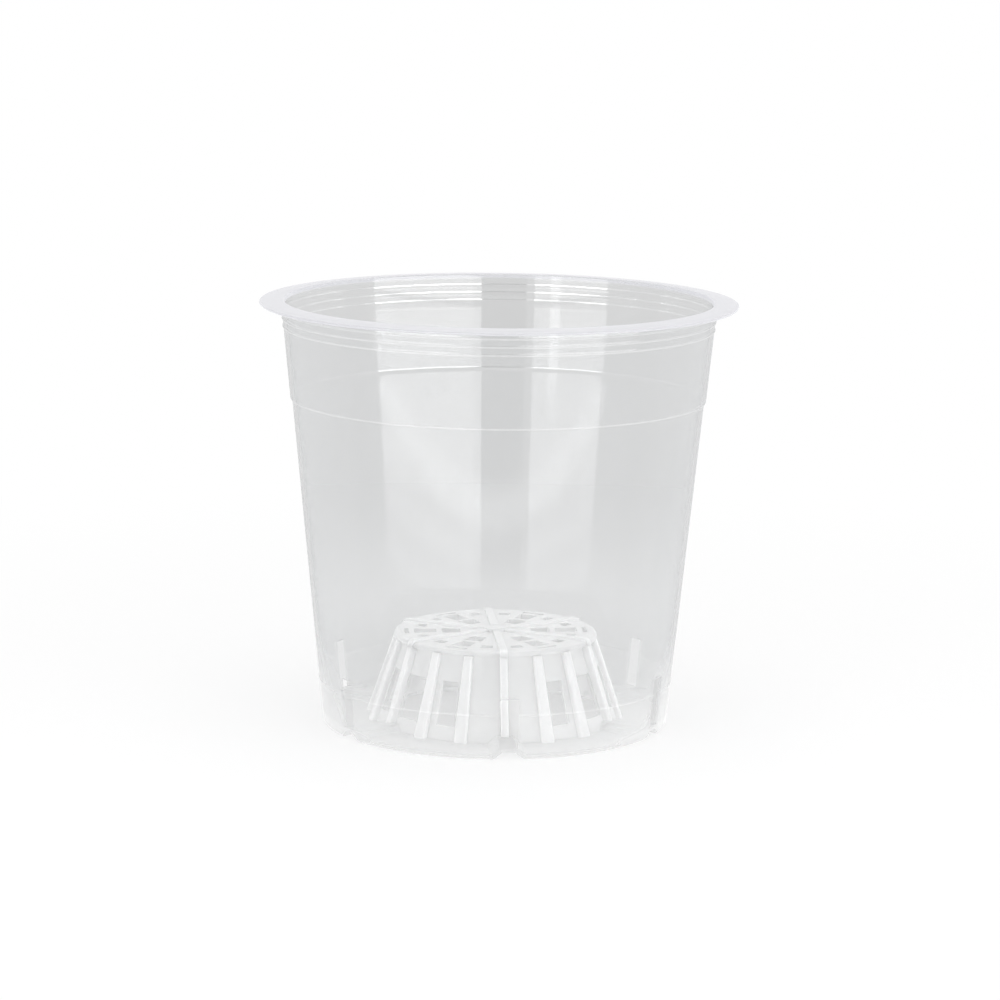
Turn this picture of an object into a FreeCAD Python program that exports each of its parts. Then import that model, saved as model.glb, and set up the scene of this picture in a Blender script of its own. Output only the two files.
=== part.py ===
import FreeCAD, Part
import math
import os

# Orchid pot with slots, in millimetres, +Z up, origin at the centre of the face it stands on.
# A slot and a main rib of the cone lie on -Y.

# Wall and rim
rim_diameter = 120.0
pot_height = 107.5
wall_foot_radius = 43.7
wall_thickness = 0.8
flange_width = 5.4
flange_thickness = 1.0
flange_droop = 0.4
flange_edge_thickness = 0.7

# Ridges round the collar, the first one measured down from the rim
ridge_count = 3
first_ridge_drop = 2.7
ridge_spacing = 2.0
ridge_width = 0.7
ridge_height = 0.25
collar_margin = 1.0

# Step where a nested pot stops, measured down from the rim
step_drop = 24.6
step_height = 1.1
step_inset = 0.43

# Slots, drain channels and floor
drain_count = 6
slot_width = 4.8
slot_top = 15.4
slot_cover = 3.0
bead_height = 11.3
bead_width = 0.5
bead_depth = 0.15
floor_thickness = 1.0
corner_radius = 0.9
channel_width = 7.8
channel_roof_width = 3.3
channel_height = 1.9

# Aeration cone
cone_height = 22.8
cone_foot_radius = 31.7
cone_top_radius = 23.9
cone_thickness = 0.9
rib_depth = 1.5
rib_foot_width = 3.2
rib_top_width = 2.2
rib_corner = 0.6
main_rib_depth = 1.9
main_rib_width = 1.9
main_rib_corner = 0.35
window_bottom = 4.4
window_top = 14.9

# Slotted top of the cone; its three rings of slots are measured inwards from the cone's edge
grid_thickness = 1.2
grid_shoulder = 1.0
hub_radius = 3.0
hub_height = 0.9
spoke_height = 0.6
arc_slot_margin = 0.6
arc_slot_length = 1.1
ring_bar_width = 1.4
middle_slot_length = 5.6
side_slot_length = 2.6
inner_slot_length = 4.8

# Angles in degrees, from one main rib towards the next
sector = 360.0 / drain_count
side_rib_angles = (20.0, 40.0)
near_window_angles = (24.2, 33.6)
far_window_angles = (44.8, 57.2)
arc_slot_angles = (22.5, 37.5)
first_side_slot_angles = (6.5, 15.5)
middle_slot_angles = (23.0, 37.0)
last_side_slot_angles = (44.5, 53.5)
inner_slot_angles = (19.0, 41.0)

# Length by which a cutting body runs past the faces that it cuts
overrun = 2.0

rim_radius = rim_diameter / 2
taper = (rim_radius - flange_width - step_inset - wall_foot_radius) / pot_height
collar_top = pot_height - flange_thickness
collar_bottom = pot_height - first_ridge_drop - (ridge_count - 1) * ridge_spacing - collar_margin
step_top = pot_height - step_drop
step_bottom = step_top - step_height
foot_top = slot_top + slot_cover
grid_bottom = cone_height - grid_thickness
cone_slope = (cone_foot_radius - cone_top_radius) / cone_height
axis = FreeCAD.Vector(0, 0, 1)
centre = FreeCAD.Vector(0, 0, 0)


def outer_radius(z, above_step):
    return wall_foot_radius + taper * z + (step_inset if above_step else 0)


def skirt_radius(z):
    return cone_foot_radius - cone_slope * z


def at(r, z):
    return FreeCAD.Vector(r, 0, z)


def chain(points):
    """Straight edges through the points, in order."""
    return [Part.LineSegment(a, b).toShape() for a, b in zip(points, points[1:])]


def revolved(edges):
    return Part.Face(Part.Wire(edges)).revolve(centre, axis, 360)


def turned(shape, degrees):
    """The shape turned about the pot's axis, from -Y towards +X."""
    copy = shape.copy()
    copy.rotate(centre, axis, degrees)
    return copy


def main_angles():
    """The angles of the main ribs, spokes, slots and channels."""
    return [i * sector for i in range(drain_count)]


def around(shape):
    """Copies of the shape on every main angle."""
    return [turned(shape, angle) for angle in main_angles()]


def wall_ring(bottom, top, above_step):
    """A plain length of the wall, as the four corners of its section."""
    low = outer_radius(bottom, above_step)
    high = outer_radius(top, above_step)
    return [
        at(low - wall_thickness, bottom),
        at(low, bottom),
        at(high, top),
        at(high - wall_thickness, top),
    ]


def bulge(z, width, height, above_step):
    """A rounded bead on the wall's outer face, centred on z."""
    low = at(outer_radius(z - width / 2, above_step), z - width / 2)
    high = at(outer_radius(z + width / 2, above_step), z + width / 2)
    crown = at(outer_radius(z, above_step) + height, z)
    return low, high, Part.Arc(low, crown, high).toShape()


def beaded_ring(bottom, top, bead_levels, width, height, above_step):
    """A length of the wall with rounded beads on its outer face."""
    inner_low, outer_low, outer_high, inner_high = wall_ring(bottom, top, above_step)
    edges = []
    last = outer_low
    for level in sorted(bead_levels):
        start, end, arc = bulge(level, width, height, above_step)
        edges += chain([last, start]) + [arc]
        last = end
    edges += chain([last, outer_high, inner_high, inner_low, outer_low])
    return revolved(edges)


def rim_flange():
    """Flat flange that droops a little towards its rounded edge."""
    root = outer_radius(pot_height, True)
    inner_low = at(outer_radius(collar_top, True) - wall_thickness, collar_top)
    root_low = at(outer_radius(collar_top, True), collar_top)
    edge_radius = flange_edge_thickness / 2
    edge_top = pot_height - flange_droop
    edge_centre = edge_top - edge_radius
    tip_top = at(rim_radius - edge_radius, edge_top)
    tip_low = at(rim_radius - edge_radius, edge_top - flange_edge_thickness)
    tip = Part.Arc(tip_low, at(rim_radius, edge_centre), tip_top).toShape()
    inner_high = at(root - wall_thickness, pot_height)
    edges = chain([inner_low, root_low, tip_low]) + [tip]
    return revolved(edges + chain([tip_top, inner_high, inner_low]))


def stacking_collar():
    levels = [pot_height - first_ridge_drop - i * ridge_spacing for i in range(ridge_count)]
    return beaded_ring(collar_bottom, collar_top, levels, ridge_width, ridge_height, True)


def upper_wall():
    """Wall above the step; its lowest part draws in to the lower wall."""
    step_radius = outer_radius(step_bottom, False)
    outer_low = at(step_radius, step_bottom)
    inner_low = at(step_radius - wall_thickness, step_bottom)
    inner_step, outer_step, outer_high, inner_high = wall_ring(step_top, collar_bottom, True)
    outer_side = [inner_low, outer_low, outer_step, outer_high]
    return revolved(chain(outer_side + [inner_high, inner_step, inner_low]))


def lower_wall():
    corners = wall_ring(foot_top, step_bottom, False)
    return revolved(chain(corners + corners[:1]))


def channel_section(grow):
    """Trapezoid across a drain channel; grow is the thickness added all round its roof."""
    lean = (channel_width - channel_roof_width) / 2 / channel_height
    side = grow * math.hypot(1, lean)
    top = channel_height + grow
    half_foot = channel_width / 2 + side
    return half_foot, half_foot - lean * top, top, lean


def channel_bar(grow, start):
    """Bar along -Y with the channel's section, which the channel and its roof are made from."""
    half_foot, half_top, top, lean = channel_section(grow)
    below = -overrun
    flared = half_foot - lean * below
    corners = [(-flared, below), (flared, below), (half_top, top), (-half_top, top), (-flared, below)]
    wire = Part.makePolygon([FreeCAD.Vector(x, -start, z) for x, z in corners])
    return Part.Face(wire).extrude(FreeCAD.Vector(0, start - rim_radius, 0))


def channel_bars(grow, start):
    return around(channel_bar(grow, start))


def base_block(top):
    """Ring between the cone's hollow and the wall's outer face, with the rounded foot corner."""
    corner = min(corner_radius, floor_thickness)
    wall_low = at(outer_radius(corner, False), corner)
    foot = at(outer_radius(corner, False) - corner, 0)
    turn = corner * math.sqrt(0.5)
    middle = at(foot.x + turn, corner - turn)
    outer_high = at(outer_radius(top, False), top)
    inner_high = at(skirt_radius(top) - cone_thickness, top)
    inner_low = at(skirt_radius(0) - cone_thickness, 0)
    edges = chain([inner_low, foot]) + [Part.Arc(foot, middle, wall_low).toShape()]
    return revolved(edges + chain([wall_low, outer_high, inner_high, inner_low]))


def drain_floor():
    """Floor ring with six channels that run under raised roofs from the cone to the wall."""
    start = skirt_radius(0) / 2
    roofs = channel_bars(floor_thickness, start)
    raised = base_block(channel_height + floor_thickness).common(Part.makeCompound(roofs))
    plate = base_block(floor_thickness)
    floor = plate.fuse(raised).removeSplitter()
    return floor.cut(channel_bars(0, start)).removeSplitter()


def slotted_foot():
    """Foot of the wall with its bead, a slot over each channel and the channel's own gap."""
    ring = beaded_ring(floor_thickness, foot_top, [bead_height], bead_width, bead_depth, False)
    corner = FreeCAD.Vector(-slot_width / 2, -rim_radius, 0)
    slot = Part.makeBox(slot_width, rim_radius - cone_foot_radius, slot_top, corner)
    return ring.cut(around(slot) + channel_bars(floor_thickness, cone_foot_radius))


def frustum(bottom, top):
    """Solid cone up to the skirt's outer face."""
    return Part.makeCone(skirt_radius(bottom), skirt_radius(top), top - bottom, at(0, bottom))


def wedge(start_angle, end_angle, start_radius, end_radius, bottom, top):
    """Cutter between two angles and two radii."""
    outer = Part.makeCylinder(end_radius, top - bottom, at(0, bottom), axis, end_angle - start_angle)
    ring = outer.cut(Part.makeCylinder(start_radius, top - bottom, at(0, bottom)))
    return turned(ring, start_angle - 90)


def window_spans():
    """Windows flank every second main rib; the panels beside the other ones are plain."""
    spans = []
    for turn in range(0, drain_count, 2):
        for start, end in (near_window_angles, far_window_angles):
            spans.append((turn * sector + start, turn * sector + end))
            spans.append((turn * sector - end, turn * sector - start))
    return spans


def cone_skirt():
    section = [
        at(skirt_radius(floor_thickness) - cone_thickness, floor_thickness),
        at(skirt_radius(floor_thickness), floor_thickness),
        at(skirt_radius(grid_bottom), grid_bottom),
        at(skirt_radius(grid_bottom) - cone_thickness, grid_bottom),
    ]
    skirt = revolved(chain(section + section[:1]))
    inside = skirt_radius(cone_height) / 2
    windows = [
        wedge(start, end, inside, cone_foot_radius, window_bottom, window_top)
        for start, end in window_spans()
    ]
    return skirt.cut(windows + channel_bars(floor_thickness, inside))


def rib_section(z, width, depth, corner, inside):
    """Level section of a rib on -Y, with rounded outer corners."""
    half = width / 2
    face = skirt_radius(z) + depth
    turn = corner * (1 - math.sqrt(0.5))
    left = [
        FreeCAD.Vector(-half, -inside, z),
        FreeCAD.Vector(-half, corner - face, z),
        FreeCAD.Vector(turn - half, turn - face, z),
        FreeCAD.Vector(corner - half, -face, z),
    ]
    right = [FreeCAD.Vector(-p.x, p.y, p.z) for p in left]
    edges = [
        Part.LineSegment(left[0], left[1]).toShape(),
        Part.Arc(left[1], left[2], left[3]).toShape(),
        Part.LineSegment(left[3], right[3]).toShape(),
        Part.Arc(right[3], right[2], right[1]).toShape(),
        Part.LineSegment(right[1], right[0]).toShape(),
        Part.LineSegment(right[0], left[0]).toShape(),
    ]
    return Part.Wire(edges)


def rib(foot_width, top_width, depth, corner):
    """Rib on -Y from the floor to the underside of the grid, cut to sit on the skirt."""
    inside = skirt_radius(cone_height) - cone_thickness
    foot = rib_section(floor_thickness, foot_width, depth, corner, inside)
    top = rib_section(grid_bottom, top_width, depth, corner, inside)
    bar = Part.makeLoft([foot, top], True, True)
    return bar.cut(frustum(0, cone_height))


def side_rib():
    return rib(rib_foot_width, rib_top_width, rib_depth, rib_corner)


def main_rib():
    """Narrow rib that stands on the roof of a drain channel."""
    bar = rib(main_rib_width, main_rib_width, main_rib_depth, main_rib_corner)
    return bar.cut(channel_bar(floor_thickness, cone_top_radius / 2))


def grid_plate():
    """Top plate of the cone, out to the faces of the ribs, with a rounded shoulder."""
    edge = skirt_radius(grid_bottom) + rib_depth
    shoulder = min(grid_shoulder, grid_thickness)
    turn = shoulder * math.sqrt(0.5)
    low = at(edge, cone_height - shoulder)
    high = at(edge - shoulder, cone_height)
    middle = at(edge - shoulder + turn, cone_height - shoulder + turn)
    edges = chain([at(0, grid_bottom), at(edge, grid_bottom)])
    if shoulder < grid_thickness:
        edges += chain([at(edge, grid_bottom), low])
    edges.append(Part.Arc(low, middle, high).toShape())
    edges += chain([high, at(0, cone_height), at(0, grid_bottom)])
    return revolved(edges)


def grid_slots():
    """Angles and radii of the slots in the first sector of the grid."""
    arc_end = cone_top_radius - arc_slot_margin
    arc_start = arc_end - arc_slot_length
    outer_end = arc_start - ring_bar_width
    middle_start = outer_end - middle_slot_length
    side_start = outer_end - side_slot_length
    inner_end = middle_start - ring_bar_width
    return [
        (arc_slot_angles, arc_start, arc_end),
        (first_side_slot_angles, side_start, outer_end),
        (middle_slot_angles, middle_start, outer_end),
        (last_side_slot_angles, side_start, outer_end),
        (inner_slot_angles, inner_end - inner_slot_length, inner_end),
    ]


def cone_grid():
    bottom = grid_bottom - overrun
    top = cone_height + overrun
    slots = []
    for turn in main_angles():
        for (start, end), inner, outer in grid_slots():
            slots.append(wedge(turn + start, turn + end, inner, outer, bottom, top))
    return grid_plate().cut(slots)


def grid_hub():
    return Part.makeCylinder(hub_radius, hub_height, at(0, cone_height))


def grid_spoke():
    """Raised spoke on -Y that runs over the shoulder and ends on its main rib."""
    edge = skirt_radius(grid_bottom) + main_rib_depth
    top = cone_height + spoke_height
    turn = grid_shoulder + spoke_height
    bend = turn * math.sqrt(0.5)
    low = at(edge, top - turn)
    middle = at(edge - turn + bend, top - turn + bend)
    high = at(edge - turn, top)
    edges = chain([at(0, grid_bottom), at(edge, grid_bottom), low])
    edges.append(Part.Arc(low, middle, high).toShape())
    edges += chain([high, at(0, top), at(0, grid_bottom)])
    bar = Part.Face(Part.Wire(edges)).extrude(FreeCAD.Vector(0, main_rib_width, 0))
    bar.translate(FreeCAD.Vector(0, -main_rib_width / 2, 0))
    bar.rotate(centre, axis, -90)
    return bar.cut([grid_plate(), grid_hub()])


def write(name, shape):
    if not shape.isValid():
        raise ValueError(name + " is not a valid solid")
    shape.exportStep("parts/" + name + ".step")
    print(name, len(shape.Solids), "solid,", round(shape.Volume, 1), "mm3")


def write_repeats(name, shape, angles):
    for number, angle in enumerate(angles, 1):
        write(name + "_" + str(number), turned(shape, angle))


def main():
    os.makedirs("parts", exist_ok=True)
    write("rim_flange", rim_flange())
    write("stacking_collar", stacking_collar())
    write("upper_wall", upper_wall())
    write("lower_wall", lower_wall())
    write("slotted_foot", slotted_foot())
    write("drain_floor", drain_floor())
    write("cone_skirt", cone_skirt())
    write("cone_grid", cone_grid())
    write("grid_hub", grid_hub())

    side_angles = [turn + angle for turn in main_angles() for angle in side_rib_angles]
    write_repeats("cone_rib", side_rib(), side_angles)
    write_repeats("main_rib", main_rib(), main_angles())
    write_repeats("grid_spoke", grid_spoke(), main_angles())


main()
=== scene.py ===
import bmesh
import bpy
import math
from mathutils import Matrix, Vector


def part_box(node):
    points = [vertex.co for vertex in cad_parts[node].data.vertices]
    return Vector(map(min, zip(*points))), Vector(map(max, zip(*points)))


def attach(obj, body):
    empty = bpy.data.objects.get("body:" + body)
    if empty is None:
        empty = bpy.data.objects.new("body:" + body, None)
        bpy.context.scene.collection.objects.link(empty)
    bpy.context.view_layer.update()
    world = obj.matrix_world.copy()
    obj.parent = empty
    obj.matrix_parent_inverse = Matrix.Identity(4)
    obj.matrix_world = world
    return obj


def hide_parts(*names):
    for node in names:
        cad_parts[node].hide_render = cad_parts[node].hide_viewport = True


# Orchid pot with slots: a clear tapered pot with a ribbed, milky aeration cone on its floor.
# Lengths are metres, and mm keeps the small ones readable. A slot and a main rib lie on -Y.
mm = 0.001
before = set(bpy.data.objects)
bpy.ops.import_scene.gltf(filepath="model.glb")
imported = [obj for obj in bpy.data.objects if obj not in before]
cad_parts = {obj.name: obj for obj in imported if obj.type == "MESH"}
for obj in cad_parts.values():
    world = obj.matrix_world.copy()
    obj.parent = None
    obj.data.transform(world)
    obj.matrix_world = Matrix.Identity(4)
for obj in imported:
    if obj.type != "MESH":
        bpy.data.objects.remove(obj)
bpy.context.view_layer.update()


def grey(level):
    return (level, level, level, 1.0)


# node trees

class Wire:
    # a socket that can be used in sums; each sum adds Math nodes to its tree
    def __init__(self, net, socket):
        self.net, self.socket = net, socket

    def math(self, operation, *others):
        values = dict(enumerate((self, *others)))
        return self.net.node("ShaderNodeMath", {"operation": operation}, values)

    def __add__(self, other): return self.math("ADD", other)
    def __radd__(self, other): return self.math("ADD", other)
    def __mul__(self, other): return self.math("MULTIPLY", other)
    def __rmul__(self, other): return self.math("MULTIPLY", other)
    def __sub__(self, other): return self.math("SUBTRACT", other)
    def __rsub__(self, other): return (self * -1) + other
    def __truediv__(self, other): return self.math("DIVIDE", other)
    def __rtruediv__(self, other): return self.math("POWER", -1) * other
    def __pow__(self, other): return self.math("POWER", other)
    def __rpow__(self, other): return (self * math.log(other)).math("EXPONENT")
    def __mod__(self, other): return self.math("FLOORED_MODULO", other)


class Net:
    # one node tree and the one way to add a node to it
    def __init__(self, tree):
        self.tree = tree
        tree.nodes.clear()

    def node(self, kind, settings=None, sockets=None, out=0):
        made = self.tree.nodes.new(kind)
        for name, value in (settings or {}).items():
            setattr(made, name, value)
        for name, value in (sockets or {}).items():
            if isinstance(value, Wire):
                self.tree.links.new(value.socket, made.inputs[name])
            else:
                made.inputs[name].default_value = value
        return Wire(self, made.outputs[out]) if made.outputs else made

    def rangeOf(self, value, low, high, toLow=0.0, toHigh=1.0):
        sockets = {"Value": value, "From Min": low, "From Max": high, "To Min": toLow, "To Max": toHigh}
        return self.node("ShaderNodeMapRange", {"interpolation_type": "SMOOTHSTEP"}, sockets)

    def blend(self, factor, first, second):
        return self.node("ShaderNodeMix", {"data_type": "RGBA"}, {0: factor, 6: first, 7: second}, 2)


def shaderNet(owner):
    owner.use_nodes = True
    return Net(owner.node_tree)


# camera, placed as the photograph was taken; angles in degrees

cameraPlace = dict(
    side=-72.6 * mm, back=892.2 * mm, height=220.8 * mm,
    turn=4.7, down=10.403, roll=0.658, lens=129.6, sensor=36.0,
)


def makeCamera(place):
    data = bpy.data.cameras.new("camera")
    data.lens = place["lens"]
    data.sensor_width = place["sensor"]
    camera = bpy.data.objects.new("camera", data)
    bpy.context.scene.collection.objects.link(camera)
    aim = Matrix.Rotation(math.radians(-place["turn"]), 4, "Z")
    aim = aim @ Matrix.Rotation(math.radians(90 - place["down"]), 4, "X")
    aim = aim @ Matrix.Rotation(math.radians(place["roll"]), 4, "Z")
    camera.matrix_world = Matrix.Translation((place["side"], -place["back"], place["height"])) @ aim
    bpy.context.scene.camera = camera


makeCamera(cameraPlace)
bpy.context.scene.view_settings.view_transform = "Standard"
print("camera placed")


# the stage is white to the eye, and pale grey where it is seen through the plastic

stageLook = dict(
    ambient=0.84, behindPlastic=0.70,
    floorSize=12.0, floorColour=0.50, floorGlow=0.58, whiteFloor=0.97,
    glowBehindPlastic=0.33, nearZone=(0.08, 0.34),
)


class Rays:
    # what kind of ray is looking, as wires that are 0 or 1
    def __init__(self, net):
        first = net.node("ShaderNodeLightPath")
        outputs = {socket.name: Wire(net, socket) for socket in first.socket.node.outputs}
        self.camera = outputs["Is Camera Ray"]
        self.direct = self.camera * outputs["Transparent Depth"].math("LESS_THAN", 0.5)
        shiny = outputs["Is Glossy Ray"].math("MAXIMUM", outputs["Is Transmission Ray"])
        self.white = self.direct.math("MAXIMUM", shiny)


def between(factor, first, second):
    return first + factor * (second - first)


def makeWorld(look):
    world = bpy.data.worlds.new("studio")
    bpy.context.scene.world = world
    net = shaderNet(world)
    rays = Rays(net)
    plain = between(rays.camera, look["ambient"], look["behindPlastic"])
    level = between(rays.white, plain, 1.0)
    sky = net.node("ShaderNodeBackground", None, {"Color": grey(1.0), "Strength": level})
    net.node("ShaderNodeOutputWorld", None, {"Surface": sky})


def makeFloor(look):
    bm = bmesh.new()
    bmesh.ops.create_grid(bm, x_segments=8, y_segments=8, size=look["floorSize"])
    mesh = bpy.data.meshes.new("floor_sheet")
    bm.to_mesh(mesh)
    bm.free()
    floor = bpy.data.objects.new("floor_sheet", mesh)
    bpy.context.scene.collection.objects.link(floor)
    material = bpy.data.materials.new("paleFloor")
    net = shaderNet(material)
    rays = Rays(net)
    place = net.node("ShaderNodeTexCoord", None, None, "Object")
    distance = net.node("ShaderNodeVectorMath", {"operation": "LENGTH"}, {0: place}, "Value")
    far = net.rangeOf(distance, *look["nearZone"])
    matt = net.node("ShaderNodeBsdfDiffuse", None, {"Color": grey(look["floorColour"])})
    own = between(rays.camera, look["floorGlow"], look["glowBehindPlastic"])
    own = between(rays.direct, own, look["whiteFloor"] - look["floorColour"])
    glow = net.node("ShaderNodeEmission", None, {"Strength": own})
    near = net.node("ShaderNodeAddShader", None, {0: matt, 1: glow})
    level = between(rays.direct, look["behindPlastic"], 1.0)
    plain = net.node("ShaderNodeEmission", None, {"Strength": level})
    surface = net.node("ShaderNodeMixShader", None, {0: far * rays.camera, 1: near, 2: plain})
    net.node("ShaderNodeOutputMaterial", None, {"Surface": surface})
    mesh.materials.append(material)


# soft light: azimuth runs from -Y towards +X, in degrees, as seen from the pot

softboxes = {
    "right window": dict(azimuth=37.9, spread=64.8, distance=0.75,
                         low=0.0, high=0.26, fade=0.05, radiance=3.3),
    "left window": dict(azimuth=-46.7, spread=44.0, distance=0.75,
                        low=0.0, high=0.26, fade=0.05, radiance=2.7),
    "left core": dict(azimuth=-37.2, spread=6.0, distance=0.70,
                      low=0.090, high=0.26, fade=0.03, radiance=2.5),
}
panels = dict(count=3, spacing=0.01)
overhead = dict(height=1.0, size=0.55, radiance=1.6)

# strips on the horizon that only show as reflections in the wall: a lit table edge with a thin
# dark line under it, and a calm grey gap between the two windows
horizon = {
    "lit edge": dict(azimuths=(-71, 71), distance=2.5, low=0.048, high=0.092, rise=0.045, level=2.3),
    "dark line": dict(azimuths=(-71, 71), distance=2.5, low=0.032, high=0.047, rise=0.045, level=0.1),
    "calm front": dict(azimuths=(-20, 10), distance=2.6, low=0.0, high=2.2, rise=0.0, level=0.15),
}


def areaLight(name, place, aim, width, height, radiance):
    data = bpy.data.lights.new(name, "AREA")
    data.shape = "RECTANGLE"
    data.size, data.size_y = width, height
    data.energy = radiance * math.pi * width * height
    light = bpy.data.objects.new(name, data)
    light.visible_camera = False
    light.location = place
    light.rotation_mode = "QUATERNION"
    light.rotation_quaternion = (Vector(aim) - Vector(place)).to_track_quat("-Z", "Y")
    bpy.context.scene.collection.objects.link(light)


def makeLights():
    # each softbox is a few panels, one behind the other with climbing lower edges, so that its
    # light fades downwards
    count = panels["count"]
    for name, box in softboxes.items():
        turn, slope = math.radians(box["azimuth"]), math.tan(math.radians(box["spread"] / 2))
        for i in range(count):
            distance = box["distance"] + panels["spacing"] * i
            low = box["low"] + box["fade"] * i / (count - 1)
            middle, height = (low + box["high"]) / 2, box["high"] - low
            place = (distance * math.sin(turn), -distance * math.cos(turn), middle)
            width = 2 * distance * slope
            areaLight(name, place, (0, 0, middle), width, height, box["radiance"] / count)
    size = overhead["size"]
    areaLight("overhead", (0, 0, overhead["height"]), (0, 0, 0), size, size, overhead["radiance"])


def makeHorizon():
    steps = 48
    for name, strip in horizon.items():
        start, end = strip["azimuths"]
        bm = bmesh.new()
        last = None
        for i in range(steps + 1):
            azimuth = start + (end - start) * i / steps
            turn, lift = math.radians(azimuth), strip["rise"] * (azimuth / end) ** 2
            x, y = strip["distance"] * math.sin(turn), -strip["distance"] * math.cos(turn)
            pair = [bm.verts.new((x, y, z + lift)) for z in (strip["low"], strip["high"])]
            if last:
                bm.faces.new((last[0], pair[0], pair[1], last[1]))
            last = pair
        mesh = bpy.data.meshes.new(name)
        bm.to_mesh(mesh)
        bm.free()
        material = bpy.data.materials.new(name)
        net = shaderNet(material)
        light = net.node("ShaderNodeEmission", None, {"Strength": strip["level"]})
        net.node("ShaderNodeOutputMaterial", None, {"Surface": light})
        material.cycles.emission_sampling = "NONE"
        mesh.materials.append(material)
        card = bpy.data.objects.new(name.replace(" ", "_"), mesh)
        bpy.context.scene.collection.objects.link(card)
        card.visible_camera = card.visible_diffuse = card.visible_shadow = False


makeWorld(stageLook)
makeFloor(stageLook)
makeLights()
makeHorizon()
print("stage and lights ready")


# plastics

plasticIndex = 1.49                 # index of refraction
leastCosine = 0.06                  # keeps the slanted path through an edge from growing endless


def cosine(net):
    # how squarely a surface faces the ray, 1 at right angles to it
    facing = net.node("ShaderNodeLayerWeight", None, {"Blend": 0.5}, "Facing")
    return (1.0 - facing).math("MAXIMUM", leastCosine)


def throughPlastic(solid, cos):
    # share that the plastic hides along a slanted path through it
    return 1.0 - (1.0 - solid) ** (1.0 / cos)


def noise(net, place, scale, detail=2.0, stretch=(1, 1, 1), roughness=0.55):
    vector = net.node("ShaderNodeMapping", None, {"Vector": place, "Scale": stretch})
    sockets = {"Vector": vector, "Scale": scale, "Detail": detail, "Roughness": roughness}
    return net.node("ShaderNodeTexNoise", None, sockets)


def nearLevel(net, height, level, width):
    # 1 at a height on the pot, falling to 0 a width above and below it
    return net.rangeOf((height - level).math("ABSOLUTE"), 0.0, width, 1.0, 0.0)


clearLook = dict(
    # the edge film is painted shade: a grey film that darkens the plastic towards its silhouette
    film=(0.958, 0.960, 0.961, 1), paintedEdgeShade=grey(0.5), edgePower=10,
    cloud=(0.72, 0.725, 0.735, 1), lipCloud=(0.75, 0.75, 0.785, 1), footCloud=grey(0.85),
    haze=0.038, lipHaze=0.22, footHaze=0.10, floorHaze=0.05, hazeRoughness=0.5, mostHaze=0.9,
    hazeEven=0.55, hazeFlow=0.5, hazeMottle=0.4,        # how the haze is shared out
    lipBlend=(-0.4 * mm, 0.1 * mm),                     # from the flange's underside
    footReach=(1 * mm, 28 * mm), floorReach=(2 * mm, 4 * mm),
    # ridge and step shine are painted glints: extra mirror share along the ridges, the stacking step and
    # the bead
    ridgeShine=0.30, stepShine=0.20, lineWidth=0.24 * mm,
    mirror=0.032, mirrorAtEdge=0.20, mirrorPower=5, gloss=0.05,
    waviness=0.03, waveDepth=0.2 * mm, mottleScale=38.0,
    flowScale=260.0, flowStretch=(1, 1, 0.04),          # long upright streaks
)
milkyLook = dict(
    film=grey(0.99), gloss=0.16, shine=0.9, glow=0.6, glowReach=3 * mm,
    hideEven=0.85, hideMottle=0.3, shadeRange=0.04,
    waviness=0.08, waveDepth=0.1 * mm, grainScale=900.0, mottleScale=70.0,
)


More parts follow.
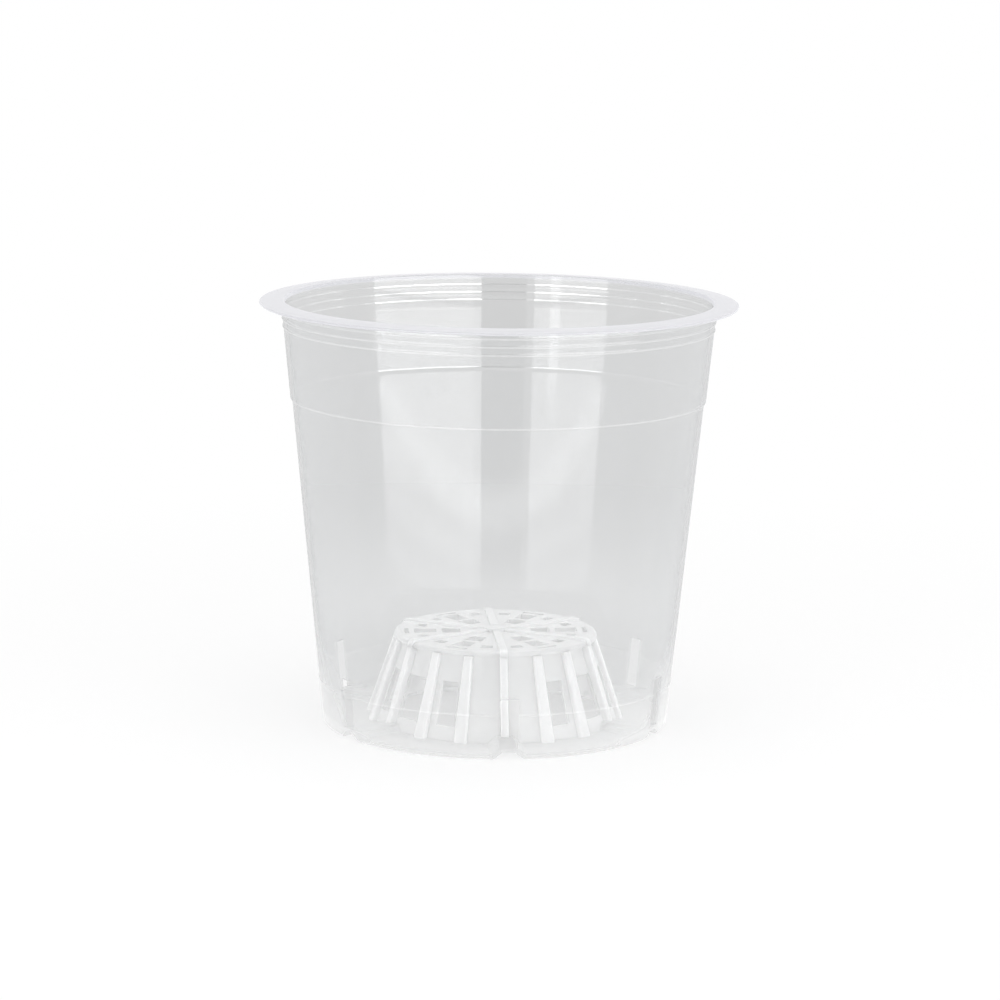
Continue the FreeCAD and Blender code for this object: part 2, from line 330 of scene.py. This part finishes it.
def clearPlastic(name, look=clearLook):
    # thin polypropylene: mostly lets light through, clouds it a little, mirrors it at a slant;
    # cloudier in the rim's lip and the foot, with painted glints along the fine lines round the wall
    material = bpy.data.materials.new(name)
    net = shaderNet(material)
    place = net.node("ShaderNodeTexCoord", None, None, "Object")
    height = net.node("ShaderNodeSeparateXYZ", None, {0: place}, "Z")
    cos = cosine(net)
    flow = noise(net, place, look["flowScale"], stretch=look["flowStretch"])
    mottle = noise(net, place, look["mottleScale"], 3.0)
    # painted glints: the mirror share is raised at the heights of the ridges, the stacking step and the
    # bead, so these lines reflect the real lamps more brightly than their shape alone makes them
    lines = 0.0
    for level in ridgeLevels:
        lines = look["ridgeShine"] * nearLevel(net, height, level, look["lineWidth"]) + lines
    for level in (stepBottom + wallSizes["stepHeight"], wallSizes["beadHeight"]):
        lines = look["stepShine"] * nearLevel(net, height, level, look["lineWidth"]) + lines
    lip = net.rangeOf(height, *[collarHigh.z + offset for offset in look["lipBlend"]])
    foot = net.rangeOf(height, *look["footReach"], 1.0, 0.0)
    floor = net.rangeOf(height, *look["floorReach"], 1.0, 0.0)
    uneven = look["hazeEven"] + look["hazeFlow"] * flow + look["hazeMottle"] * mottle
    haze = look["haze"] * uneven + look["lipHaze"] * lip
    haze = haze + look["footHaze"] * foot + look["floorHaze"] * floor
    share = throughPlastic(haze.math("MINIMUM", look["mostHaze"]), cos)
    cloud = net.blend(foot, net.blend(lip, look["cloud"], look["lipCloud"]), look["footCloud"])
    body = net.node("ShaderNodeBsdfPrincipled", None, {
        "Base Color": cloud, "Roughness": look["hazeRoughness"], "IOR": plasticIndex})
    film = net.node("ShaderNodeBsdfTransparent", None, {"Color": look["film"]})
    # painted shade: towards the silhouette the clear film turns grey, a dark outline painted into the
    # plastic
    paintedEdgeShade = net.node("ShaderNodeBsdfTransparent", None, {"Color": look["paintedEdgeShade"]})
    edge = (1.0 - cos) ** look["edgePower"]
    film = net.node("ShaderNodeMixShader", None, {0: edge, 1: film, 2: paintedEdgeShade})
    veil = net.node("ShaderNodeMixShader", None, {0: share, 1: film, 2: body})
    bump = net.node("ShaderNodeBump", None, {
        "Strength": look["waviness"], "Distance": look["waveDepth"], "Height": flow})
    sheen = net.node("ShaderNodeBsdfPrincipled", None, {
        "Base Color": grey(1.0), "Metallic": 1.0, "Roughness": look["gloss"], "Normal": bump})
    mirror = look["mirror"] + look["mirrorAtEdge"] * (1.0 - cos) ** look["mirrorPower"]
    # the mirror share at a slant, plus the painted glints on the fine lines
    surface = net.node("ShaderNodeMixShader", None, {0: mirror + lines, 1: veil, 2: sheen})
    net.node("ShaderNodeOutputMaterial", None, {"Surface": surface})
    return material


def milkyPlastic(name, solid, white, look=milkyLook):
    # the same plastic where it is thicker and frosted, so that it glows and hides more
    material = bpy.data.materials.new(name)
    net = shaderNet(material)
    place = net.node("ShaderNodeTexCoord", None, None, "Object")
    grain = noise(net, place, look["grainScale"])
    mottle = noise(net, place, look["mottleScale"], 3.0)
    hides = solid * (look["hideEven"] + look["hideMottle"] * mottle)
    share = throughPlastic(hides, cosine(net))
    shade = net.blend(mottle, grey(white - look["shadeRange"]), grey(white))
    bump = net.node("ShaderNodeBump", None, {
        "Strength": look["waviness"], "Distance": look["waveDepth"], "Height": grain})
    body = net.node("ShaderNodeBsdfPrincipled", None, {
        "Base Color": shade, "Roughness": look["gloss"],
        "IOR": plasticIndex, "Specular IOR Level": look["shine"],
        "Subsurface Weight": look["glow"], "Subsurface Radius": (1.0, 1.0, 1.0),
        "Subsurface Scale": look["glowReach"], "Normal": bump})
    film = net.node("ShaderNodeBsdfTransparent", None, {"Color": look["film"]})
    surface = net.node("ShaderNodeMixShader", None, {0: share, 1: film, 2: body})
    net.node("ShaderNodeOutputMaterial", None, {"Surface": surface})
    return material


# geometry trees

weld = 0.002 * mm                   # points nearer than this become one in a finished mesh
seam = 0.001 * mm                   # the same for the seam of a turned outline
beyond = 2 * mm                     # how far a cutter reaches past what it cuts


def modelTree(name, inputs):
    tree = bpy.data.node_groups.new(name, "GeometryNodeTree")
    net = Net(tree)
    tree.interface.new_socket("Geometry", in_out="OUTPUT", socket_type="NodeSocketGeometry")
    tree.interface.new_socket("Geometry", in_out="INPUT", socket_type="NodeSocketGeometry")
    for label, kind in {**inputs, "Material": "Material"}.items():
        tree.interface.new_socket(label, in_out="INPUT", socket_type="NodeSocket" + kind)
    given = tree.nodes.new("NodeGroupInput")
    return net, {socket.name: Wire(net, socket) for socket in given.outputs if socket.name}


def endTree(net, shape, material):
    real = net.node("GeometryNodeRealizeInstances", None, {"Geometry": shape})
    painted = net.node("GeometryNodeSetMaterial", None, {"Geometry": real, "Material": material})
    net.node("NodeGroupOutput", None, {"Geometry": painted})


def shapeOf(net, thing):
    return net.node("GeometryNodeObjectInfo", None, {"Object": thing}, "Geometry")


def turned(net, profile, path, segments):
    # a closed outline swept round the pot's axis
    circle = net.node("GeometryNodeCurvePrimitiveCircle", None, {"Resolution": segments, "Radius": path})
    sockets = {"Curve": circle, "Profile Curve": shapeOf(net, profile)}
    swept = net.node("GeometryNodeCurveToMesh", None, sockets)
    return net.node("GeometryNodeMergeByDistance", None, {"Geometry": swept, "Distance": seam})


def evenly(net, count):
    return net.node("GeometryNodeInputIndex") * (2 * math.pi) / count


def repeated(net, thing, count, angle=evenly):
    # copies of an object's shape round the pot's axis, turned by a rule on the copy's number
    points = net.node("GeometryNodePoints", None, {"Count": count})
    sockets = {"Axis": (0, 0, 1), "Angle": angle(net, count)}
    spin = net.node("FunctionNodeAxisAngleToRotation", None, sockets)
    sockets = {"Points": points, "Instance": shapeOf(net, thing), "Rotation": spin}
    copies = net.node("GeometryNodeInstanceOnPoints", None, sockets)
    return net.node("GeometryNodeRealizeInstances", None, {"Geometry": copies})


def booled(net, operation, first, second):
    # a difference takes the second from the first; the others have one socket for both
    ports = {"Mesh 1": first, "Mesh 2": second} if operation == "DIFFERENCE" else {"Mesh 2": first}
    made = net.node("GeometryNodeMeshBoolean", {"operation": operation, "solver": "MANIFOLD"}, ports)
    if operation != "DIFFERENCE":
        net.tree.links.new(second.socket, made.socket.node.inputs["Mesh 2"])
    return made


# meshes

def grow(name, net, values, nodes, sharp=35.0):
    # runs a tree once, keeps its mesh as a plain piece and lets it stand for its CAD nodes
    piece = bpy.data.objects.new(name, bpy.data.meshes.new(name))
    bpy.context.scene.collection.objects.link(piece)
    modifier = piece.modifiers.new("shape", "NODES")
    modifier.node_group = net.tree
    for item in net.tree.interface.items_tree:
        if item.in_out == "INPUT" and item.name in values:
            modifier[item.identifier] = values[item.name]
    mesh = bpy.data.meshes.new_from_object(piece.evaluated_get(bpy.context.evaluated_depsgraph_get()))
    piece.modifiers.remove(modifier)
    piece.data = mesh
    mesh.name = name
    bm = bmesh.new()
    bm.from_mesh(mesh)
    bmesh.ops.remove_doubles(bm, verts=bm.verts, dist=weld)
    bmesh.ops.dissolve_degenerate(bm, edges=bm.edges, dist=weld)
    bmesh.ops.delete(bm, geom=[edge for edge in bm.edges if not edge.link_faces], context="EDGES")
    bmesh.ops.recalc_face_normals(bm, faces=bm.faces)
    openEdges = sum(1 for edge in bm.edges if len(edge.link_faces) != 2)
    bm.to_mesh(mesh)
    bm.free()
    mesh.shade_smooth()
    mesh.set_sharp_from_angle(angle=math.radians(sharp))
    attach(piece, "root")
    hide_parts(*nodes)
    triangles = sum(len(face.vertices) - 2 for face in mesh.polygons)
    print(name, "has", triangles, "triangles and", openEdges, "open edges")


def outlineCurve(name, outline, path):
    # a closed outline of (radius, height) points as the curve that is swept round the axis
    curve = bpy.data.curves.new(name, "CURVE")
    curve.dimensions = "2D"
    spline = curve.splines.new("POLY")
    spline.points.add(len(outline) - 1)
    for point, (radius, height) in zip(spline.points, outline):
        point.co = (radius - path, -height, 0, 1)
    spline.use_cyclic_u = True
    return bpy.data.objects.new(name, curve)


def arc(centre, radius, start, end, steps=6):
    # points on an arc in the (radius, height) plane, angles in degrees
    turns = [math.radians(start + (end - start) * i / steps) for i in range(steps + 1)]
    return [(centre[0] + radius * math.cos(t), centre[1] + radius * math.sin(t)) for t in turns]


def toolObject(name, bm):
    # a cutter or a rib to repeat; it isn't linked to the scene
    bmesh.ops.recalc_face_normals(bm, faces=bm.faces)
    mesh = bpy.data.meshes.new(name)
    bm.to_mesh(mesh)
    bm.free()
    return bpy.data.objects.new(name, mesh)


def addLoft(bm, sections):
    # closed body through rings of equally many points
    rings = [[bm.verts.new(point) for point in section] for section in sections]
    for low, high in zip(rings, rings[1:]):
        for i in range(len(low)):
            bm.faces.new((low[i - 1], low[i], high[i], high[i - 1]))
    bm.faces.new(rings[0])
    bm.faces.new(rings[-1])


def addWedge(bm, angles, radii, heights, steps=8):
    # body between two angles from -Y, two radii and two heights
    (inner, outer), (low, high) = radii, heights
    corners = ((inner, low), (outer, low), (outer, high), (inner, high))
    sections = []
    for i in range(steps + 1):
        turn = math.radians(angles[0] + (angles[1] - angles[0]) * i / steps)
        sections.append([(r * math.sin(turn), -r * math.cos(turn), z) for r, z in corners])
    addLoft(bm, sections)


def barTool(name, section, ends):
    # straight bar of one (x, z) section between two places on Y
    bm = bmesh.new()
    addLoft(bm, [[(x, y, z) for x, z in section] for y in ends])
    return toolObject(name, bm)


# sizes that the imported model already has

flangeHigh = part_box("rim_flange")[1]
collarLow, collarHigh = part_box("stacking_collar")
upperLow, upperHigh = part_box("upper_wall")
lowerLow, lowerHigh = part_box("lower_wall")
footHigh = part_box("slotted_foot")[1]
potHeight, stepBottom = flangeHigh.z, upperLow.z
taper = (lowerHigh.x - footHigh.x) / (stepBottom - lowerLow.z)
footRadius = footHigh.x - taper * lowerLow.z
stepInset = upperHigh.x - footRadius - taper * collarLow.z
slotCount = 6


# wall, rim and floor: one clear shell

wallSizes = dict(
    thickness=0.8 * mm, segments=288, stepHeight=1.1 * mm,
    ridgeDrops=(2.7 * mm, 4.7 * mm, 6.7 * mm), ridgeWidth=0.7 * mm, ridgeHeight=0.25 * mm,
    beadHeight=11.3 * mm, beadWidth=0.5 * mm, beadDepth=0.15 * mm,
)
slotSizes = dict(width=4.8 * mm, bottom=2.5 * mm, top=15.4 * mm, corner=0.5 * mm,
                 reach=0.9)         # where its cutter ends, as a share of the foot's radius
lipSizes = dict(droop=0.4 * mm, edge=0.7 * mm, innerRound=0.35 * mm)
floorSizes = dict(
    thickness=1.0 * mm, corner=0.9 * mm,
    channelWidth=7.8 * mm, roofWidth=3.3 * mm, channelHeight=1.9 * mm,
)
coneSizes = dict(
    height=22.8 * mm, footRadius=31.7 * mm, topRadius=23.9 * mm,
    thickness=0.9 * mm, gridThickness=1.2 * mm, shoulder=1.0 * mm, segments=240,
    windowBottom=4.4 * mm, windowTop=14.9 * mm, windows=((24.2, 33.6), (44.8, 57.2)), windowSets=3,
)
ridgeLevels = [potHeight - drop for drop in wallSizes["ridgeDrops"]]
channelTop = floorSizes["channelHeight"] + floorSizes["thickness"]
gridBottom = coneSizes["height"] - coneSizes["gridThickness"]


def plainRadius(z):
    # outside of the wall without its ridges: a taper and one smooth step
    climb = min(max((z - stepBottom) / wallSizes["stepHeight"], 0.0), 1.0)
    return footRadius + taper * z + stepInset * climb * climb * (3 - 2 * climb)


def swelling(z, level, width, height):
    reach = abs(z - level) / (width / 2)
    return height * 0.5 * (1 + math.cos(math.pi * reach)) if reach < 1 else 0.0


def wallRadius(z):
    wall = wallSizes
    ridges = sum(swelling(z, level, wall["ridgeWidth"], wall["ridgeHeight"]) for level in ridgeLevels)
    return plainRadius(z) + ridges + swelling(z, wall["beadHeight"], wall["beadWidth"], wall["beadDepth"])


def coneRadius(z):
    cone = coneSizes
    return cone["footRadius"] - (cone["footRadius"] - cone["topRadius"]) * z / cone["height"]


def around(level, width, steps=8):
    return [level + width * (i / steps - 0.5) for i in range(steps + 1)]


def wallLevels(low, high):
    # heights of the outline's points, close together only where the wall bends
    wall = wallSizes
    levels = [low, high] + around(stepBottom + wall["stepHeight"] / 2, wall["stepHeight"])
    for level in ridgeLevels:
        levels += around(level, wall["ridgeWidth"])
    levels += around(wall["beadHeight"], wall["beadWidth"], 6)
    plain, closest = 12, 0.01 * mm
    levels += [low + (high - low) * i / plain for i in range(plain)]
    inside = sorted(z for z in levels if low <= z <= high)
    return [z for i, z in enumerate(inside) if i == 0 or z - inside[i - 1] > closest]


def footCorner():
    # the rounded corner from the wall down to the face that the pot stands on
    corner = floorSizes["corner"]
    return arc((plainRadius(corner) - corner, corner), corner, 0, -90)


def shellOutline():
    # up the inside from the cone's foot to the rim, over the lip, and down the outside
    wall, lip = wallSizes, lipSizes
    hollow, floorTop = coneSizes["thickness"], floorSizes["thickness"]
    levels = wallLevels(floorTop, collarHigh.z)
    inside = [(coneRadius(z) - hollow, z) for z in (0, floorTop)]
    inside += [(plainRadius(z) - wall["thickness"], z) for z in levels]
    inner, rounding = plainRadius(potHeight) - wall["thickness"], lip["innerRound"]
    inside += arc((inner + rounding, potHeight - rounding), rounding, 180, 90, 5)
    tip = lip["edge"] / 2
    lipEnd = arc((flangeHigh.x - tip, potHeight - lip["droop"] - tip), tip, 90, -90, 8)
    return inside + lipEnd + [(wallRadius(z), z) for z in reversed(levels)] + footCorner()


def roofOutline():
    # solid ring that the roofs of the drain channels are cut from
    hollow = coneSizes["thickness"]
    outline = [(coneRadius(z) - hollow, z) for z in (0, channelTop)]
    return outline + [(plainRadius(channelTop), channelTop)] + footCorner()


def channelTool(extra):
    # bar along -Y with the section of a drain channel, or of its roof
    floor = floorSizes
    lean = (floor["channelWidth"] - floor["roofWidth"]) / 2 / floor["channelHeight"]
    top = floor["channelHeight"] + extra
    foot = floor["channelWidth"] / 2 + extra * math.hypot(1, lean)
    below = -beyond
    section = [(-foot + lean * below, below), (foot - lean * below, below)]
    section += [(foot - lean * top, top), (lean * top - foot, top)]
    return barTool("channelTool", section, (-flangeHigh.x, -coneRadius(0) / 2))


def slotTool():
    # upright bar along -Y with rounded top corners; the floor's channel roof closes it below
    half, top, corner = slotSizes["width"] / 2, slotSizes["top"], slotSizes["corner"]
    section = [(-half, slotSizes["bottom"]), (half, slotSizes["bottom"])]
    section += arc((half - corner, top - corner), corner, 0, 90, 4)
    section += arc((corner - half, top - corner), corner, 90, 180, 4)
    return barTool("slotTool", section, (-flangeHigh.x, -footRadius * slotSizes["reach"]))


def makeShell(material):
    path = coneSizes["footRadius"]
    net, given = modelTree("shellTree", {
        "Shell": "Object", "Roof Block": "Object", "Path": "Float", "Segments": "Int",
        "Slot": "Object", "Roof": "Object", "Channel": "Object", "Drains": "Int"})
    shell = turned(net, given["Shell"], given["Path"], given["Segments"])
    block = turned(net, given["Roof Block"], given["Path"], given["Segments"])
    slots = repeated(net, given["Slot"], given["Drains"])
    roofs = repeated(net, given["Roof"], given["Drains"])
    channels = repeated(net, given["Channel"], given["Drains"])
    slotted = booled(net, "DIFFERENCE", shell, slots)
    roofed = booled(net, "UNION", slotted, booled(net, "INTERSECT", block, roofs))
    endTree(net, booled(net, "DIFFERENCE", roofed, channels), given["Material"])
    grow("pot_shell", net, {
        "Shell": outlineCurve("shellOutline", shellOutline(), path),
        "Roof Block": outlineCurve("roofOutline", roofOutline(), path),
        "Path": path, "Segments": wallSizes["segments"], "Slot": slotTool(),
        "Roof": channelTool(floorSizes["thickness"]), "Channel": channelTool(0),
        "Drains": slotCount, "Material": material,
    }, ["rim_flange", "stacking_collar", "upper_wall", "lower_wall", "slotted_foot", "drain_floor"])


# aeration cone: windowed skirt and slotted top; a grid slot is two angles and two radii

gridSlots = dict(
    arc=(22.5, 37.5, 22.2 * mm, 23.3 * mm), middle=(23.0, 37.0, 15.2 * mm, 20.8 * mm),
    inner=(19.0, 41.0, 9.0 * mm, 13.8 * mm), firstSide=(6.5, 15.5, 18.2 * mm, 20.8 * mm),
    lastSide=(44.5, 53.5, 18.2 * mm, 20.8 * mm),
)


def coneOutline():
    cone = coneSizes
    thickness, shoulder, height = cone["thickness"], cone["shoulder"], cone["height"]
    floorTop = floorSizes["thickness"]
    edge = coneRadius(gridBottom) + ribSizes["depth"]
    outline = [(coneRadius(z) - thickness, z) for z in (floorTop, gridBottom)]
    outline += [(0, gridBottom), (0, height)]
    outline += arc((edge - shoulder, height - shoulder), shoulder, 90, 0)
    return outline + [(edge, gridBottom)] + [(coneRadius(z), z) for z in (gridBottom, floorTop)]


def windowTool():
    cone = coneSizes
    radii = (coneRadius(cone["height"]) / 2, cone["footRadius"] + ribSizes["depth"])
    bm = bmesh.new()
    for start, end in cone["windows"]:
        for side in ((start, end), (-end, -start)):
            addWedge(bm, side, radii, (cone["windowBottom"], cone["windowTop"]))
    return toolObject("windowTool", bm)


def gridTool():
    bm = bmesh.new()
    for start, end, inner, outer in gridSlots.values():
        addWedge(bm, (start, end), (inner, outer), (gridBottom - beyond, coneSizes["height"] + beyond))
    return toolObject("gridTool", bm)


def makeCone(material):
    path = coneSizes["footRadius"]
    net, given = modelTree("coneTree", {
        "Outline": "Object", "Path": "Float", "Segments": "Int",
        "Windows": "Object", "Window Sets": "Int", "Slots": "Object", "Slot Sets": "Int"})
    body = turned(net, given["Outline"], given["Path"], given["Segments"])
    windows = repeated(net, given["Windows"], given["Window Sets"])
    slots = repeated(net, given["Slots"], given["Slot Sets"])
    body = booled(net, "DIFFERENCE", booled(net, "DIFFERENCE", body, windows), slots)
    endTree(net, body, given["Material"])
    grow("air_cone", net, {
        "Outline": outlineCurve("coneOutline", coneOutline(), path), "Path": path,
        "Segments": coneSizes["segments"], "Windows": windowTool(), "Slots": gridTool(),
        "Window Sets": coneSizes["windowSets"], "Slot Sets": slotCount, "Material": material,
    }, ["cone_skirt", "cone_grid"])


# ribs on the cone's side, seated a hair inside its skirt

ribSizes = dict(footWidth=3.2 * mm, topWidth=2.2 * mm, depth=1.5 * mm, corner=0.6 * mm)
mainRibSizes = dict(footWidth=1.9 * mm, topWidth=1.9 * mm, depth=1.9 * mm, corner=0.35 * mm)
seat = 0.06 * mm


def ribTool(name, sizes, bottom):
    # upright rib on -Y with rounded outer corners
    corner = sizes["corner"]
    sections = []
    for width, z in ((sizes["footWidth"], bottom), (sizes["topWidth"], gridBottom)):
        half, face, back = width / 2, coneRadius(z) + sizes["depth"], coneRadius(z) - seat
        outline = [(half, back)] + arc((half - corner, face - corner), corner, 0, 90, 4)
        outline += arc((corner - half, face - corner), corner, 90, 180, 4) + [(-half, back)]
        sections.append([(x, -r, z) for x, r in outline])
    bm = bmesh.new()
    addLoft(bm, sections)
    return toolObject(name, bm)


def pairedAngles(net, count):
    # two ribs in every sector, a third and two thirds of the way along
    number = net.node("GeometryNodeInputIndex")
    sector = (number / 2).math("FLOOR")
    return (sector * 3 + (number % 2) + 1) * (4 * math.pi / 3) / count


def ringOf(name, tool, count, node, material, angle=evenly):
    net, given = modelTree(name + "Tree", {"Rib": "Object", "Ribs": "Int"})
    shape = repeated(net, given["Rib"], given["Ribs"], angle)
    endTree(net, shape, given["Material"])
    nodes = ["%s_%d" % (node, i + 1) for i in range(count)]
    grow(name, net, {"Rib": tool, "Ribs": count, "Material": material}, nodes)


def makeRibs(material):
    side = ribTool("ribTool", ribSizes, floorSizes["thickness"])
    ringOf("cone_ribs", side, 2 * slotCount, "cone_rib", material, pairedAngles)
    main = ribTool("mainRibTool", mainRibSizes, channelTop)
    ringOf("main_ribs", main, slotCount, "main_rib", material)


# spokes on the cone's top and the button where they meet

spokeSizes = dict(width=1.9 * mm, height=0.6 * mm, start=0.9)      # start: share of the hub's radius
hubSizes = dict(radius=3.0 * mm, height=0.9 * mm, corner=0.25 * mm, segments=64)


def makeSpokes(material):
    height = coneSizes["height"]
    root = coneRadius(gridBottom)
    start, edge = hubSizes["radius"] * spokeSizes["start"], root + mainRibSizes["depth"]
    turn = coneSizes["shoulder"] + spokeSizes["height"]
    top = height + spokeSizes["height"]
    path = [(start, height - seat), (start, top)]
    path += arc((edge - turn, top - turn), turn, 90, 0, 8)
    path += [(edge, gridBottom), (root - seat, gridBottom)]
    half = spokeSizes["width"] / 2
    bm = bmesh.new()
    addLoft(bm, [[(x, -r, z) for r, z in path] for x in (-half, half)])
    ringOf("grid_spokes", toolObject("spokeTool", bm), slotCount, "grid_spoke", material)


def makeHub(material):
    radius, corner, base = hubSizes["radius"], hubSizes["corner"], coneSizes["height"]
    top = base + hubSizes["height"]
    outline = [(0, base), (0, top)] + arc((radius - corner, top - corner), corner, 90, 0, 4)
    outline += [(radius, base)]
    net, given = modelTree("hubTree", {"Outline": "Object", "Path": "Float", "Segments": "Int"})
    endTree(net, turned(net, given["Outline"], given["Path"], given["Segments"]), given["Material"])
    grow("grid_button", net, {
        "Outline": outlineCurve("hubOutline", outline, radius), "Path": radius,
        "Segments": hubSizes["segments"], "Material": material,
    }, ["grid_hub"])


# solid is the share of light that the plastic hides face on, and white its own colour

makeShell(clearPlastic("clearWall"))
makeCone(milkyPlastic("milkyCone", solid=0.44, white=0.93))
makeRibs(milkyPlastic("milkyRib", solid=0.85, white=1.0))
makeSpokes(milkyPlastic("milkySpoke", solid=0.85, white=1.0))
makeHub(milkyPlastic("milkyHub", solid=0.7, white=0.98))

mostWalls = 48                      # clear surfaces that a ray may cross
bpy.context.scene.cycles.transparent_max_bounces = mostWalls
bpy.context.view_layer.update()
